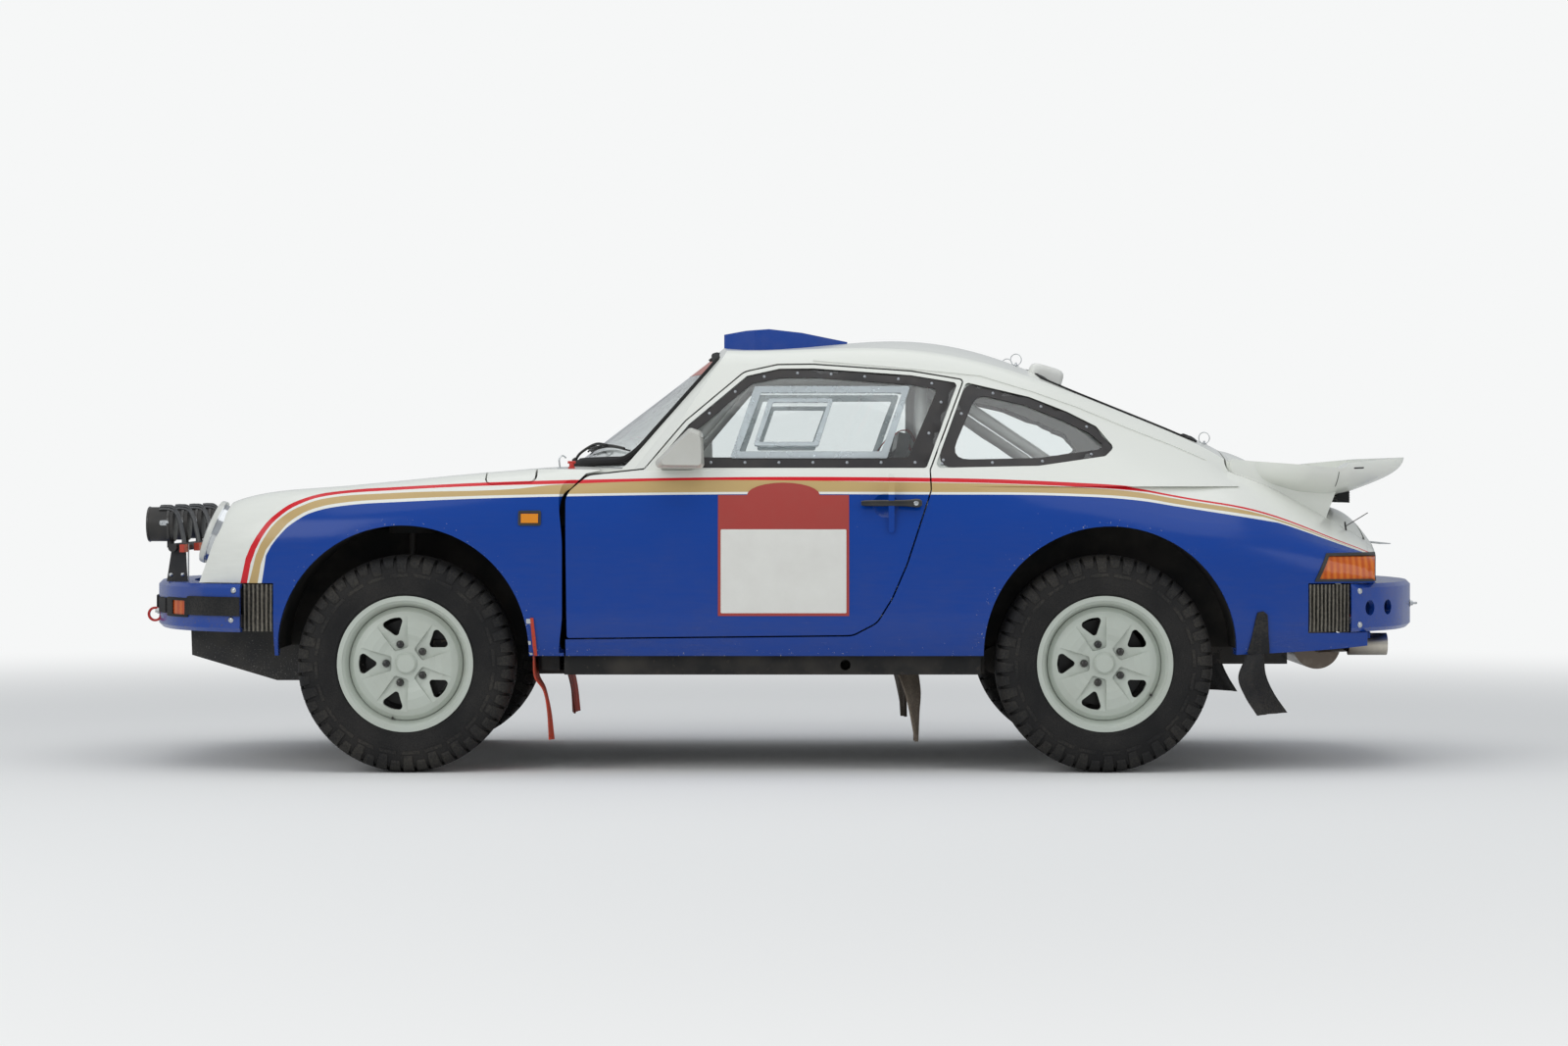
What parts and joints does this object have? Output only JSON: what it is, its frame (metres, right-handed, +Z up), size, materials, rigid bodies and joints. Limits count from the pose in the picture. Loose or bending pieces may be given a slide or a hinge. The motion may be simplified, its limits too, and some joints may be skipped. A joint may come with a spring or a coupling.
{
  "type": "rally car",
  "caption": "Raised two-door rear-engined rally coupe with opening doors, lids and filler flap, turning and steering wheels, roll cage and bucket seats.",
  "frame": {"origin": "on the ground, midway between the ends and the sides of the car", "axes": "+X to the rear, +Y to the car's right, +Z up; the nose points along -X"},
  "size_m": [4.288, 1.76, 1.463],
  "materials": {
    "white_paint": "gloss",
    "blue_paint": "gloss",
    "black_structure": "satin",
    "clear_glass": "clear",
    "acrylic_pane": "clear",
    "black_rubber": "matt",
    "tyre_rubber": "matt",
    "wheel_paint": "satin",
    "orange_lens": "gloss",
    "lamp_chrome": "bright",
    "black_plastic": "matt",
    "cage_paint": "satin",
    "seat_cloth": "matt",
    "cast_alloy": "cast",
    "steel_parts": "dull",
    "guard_plate": "scuffed",
    "exhaust_steel": "heat-stained",
    "grey_plastic": "satin"
  },
  "bodies": {
    "body": {"body_tub": "black_structure", "scuttle": "white_paint", "roof": "white_paint", "front_wing_left": "white_paint", "front_wing_right": "white_paint", "rear_quarter_left": "white_paint", "rear_quarter_right": "white_paint", "rear_panel": "blue_paint", "fixed_windows": "clear_glass", "front_bumper": "blue_paint", "rear_bumper": "blue_paint", "bumper_bellows": "black_rubber", "rear_lamps": "orange_lens", "headlamps": "lamp_chrome", "indicator_lamps": "orange_lens", "lamp_bar": "black_plastic", "roof_scoop": "blue_paint", "sump_guard": "guard_plate", "seats": "black_plastic", "seat_pads": "seat_cloth", "roll_cage": "cage_paint", "dashboard": "black_plastic", "gear_shift": "black_plastic", "front_arms": "steel_parts", "rear_arms": "steel_parts", "engine": "cast_alloy", "exhaust": "exhaust_steel", "mud_flaps": "black_rubber"},
    "left_door": {"door_left": "white_paint", "door_window_left": "acrylic_pane", "door_mirror_left": "grey_plastic"},
    "right_door": {"door_right": "white_paint", "door_window_right": "acrylic_pane", "door_mirror_right": "grey_plastic"},
    "luggage_lid": {"front_lid": "white_paint"},
    "engine_cover": {"engine_lid": "white_paint"},
    "filler_flap": {"fuel_flap": "white_paint"},
    "steering_column": {"steering_wheel": "black_plastic"},
    "rack_and_rods": {"tie_rods": "steel_parts"},
    "left_knuckle": {"front_knuckle_left": "steel_parts"},
    "right_knuckle": {"front_knuckle_right": "steel_parts"},
    "front_left_wheel": {"front_wheel_left": "wheel_paint", "front_tyre_left": "tyre_rubber"},
    "front_right_wheel": {"front_wheel_right": "wheel_paint", "front_tyre_right": "tyre_rubber"},
    "rear_left_wheel": {"rear_wheel_left": "wheel_paint", "rear_tyre_left": "tyre_rubber"},
    "rear_right_wheel": {"rear_wheel_right": "wheel_paint", "rear_tyre_right": "tyre_rubber"}
  },
  "joints": [
    {"name": "front_left_steer", "type": "hinge", "parent": "body", "child": "left_knuckle", "pos_m": [-1.23, -0.612, 0.25], "axis": [0, 0.1674, 0.9859], "range_deg": [-30, 30]},
    {"name": "front_right_steer", "type": "hinge", "parent": "body", "child": "right_knuckle", "pos_m": [-1.23, 0.612, 0.25], "axis": [0, -0.1674, 0.9859], "range_deg": [-30, 30]},
    {"name": "steering_wheel_turn", "type": "hinge", "parent": "body", "child": "steering_column", "pos_m": [-0.232, -0.35, 0.88], "axis": [0.9397, 0, 0.342], "range_deg": [-540, 540]},
    {"name": "rack_slide", "type": "slide", "parent": "body", "child": "rack_and_rods", "axis": [0, 1, 0], "range_m": [-0.065, 0.065]},
    {"name": "front_left_spin", "type": "hinge", "parent": "left_knuckle", "child": "front_left_wheel", "pos_m": [-1.23, -0.686, 0.354], "axis": [0, 1, 0], "continuous": true},
    {"name": "front_right_spin", "type": "hinge", "parent": "right_knuckle", "child": "front_right_wheel", "pos_m": [-1.23, 0.686, 0.354], "axis": [0, 1, 0], "continuous": true},
    {"name": "rear_left_spin", "type": "hinge", "parent": "body", "child": "rear_left_wheel", "pos_m": [1.042, -0.69, 0.354], "axis": [0, 1, 0], "continuous": true},
    {"name": "rear_right_spin", "type": "hinge", "parent": "body", "child": "rear_right_wheel", "pos_m": [1.042, 0.69, 0.354], "axis": [0, 1, 0], "continuous": true},
    {"name": "left_door_hinge", "type": "hinge", "parent": "body", "child": "left_door", "pos_m": [-0.69, -0.775, 0.7], "axis": [0, 0, -1], "range_deg": [0, 65]},
    {"name": "right_door_hinge", "type": "hinge", "parent": "body", "child": "right_door", "pos_m": [-0.69, 0.775, 0.7], "axis": [0, 0, 1], "range_deg": [0, 65]},
    {"name": "luggage_lid_hinge", "type": "hinge", "parent": "body", "child": "luggage_lid", "pos_m": [-0.7, 0, 0.99], "axis": [0, 1, 0], "range_deg": [0, 55]},
    {"name": "engine_lid_hinge", "type": "hinge", "parent": "body", "child": "engine_cover", "pos_m": [1.44, 0, 1.075], "axis": [0, -1, 0], "range_deg": [0, 48]},
    {"name": "fuel_flap_hinge", "type": "hinge", "parent": "body", "child": "filler_flap", "pos_m": [-0.972, -0.6875, 0.984], "axis": [0, -1, 0], "range_deg": [0, 80]}
  ],
  "couplings": [
    {"joint": "front_right_steer", "follows": "front_left_steer", "ratio": 1},
    {"joint": "steering_wheel_turn", "follows": "front_left_steer", "ratio": 17.9},
    {"joint": "rack_slide", "follows": "front_left_steer", "m_per_rad": 0.12}
  ]
}
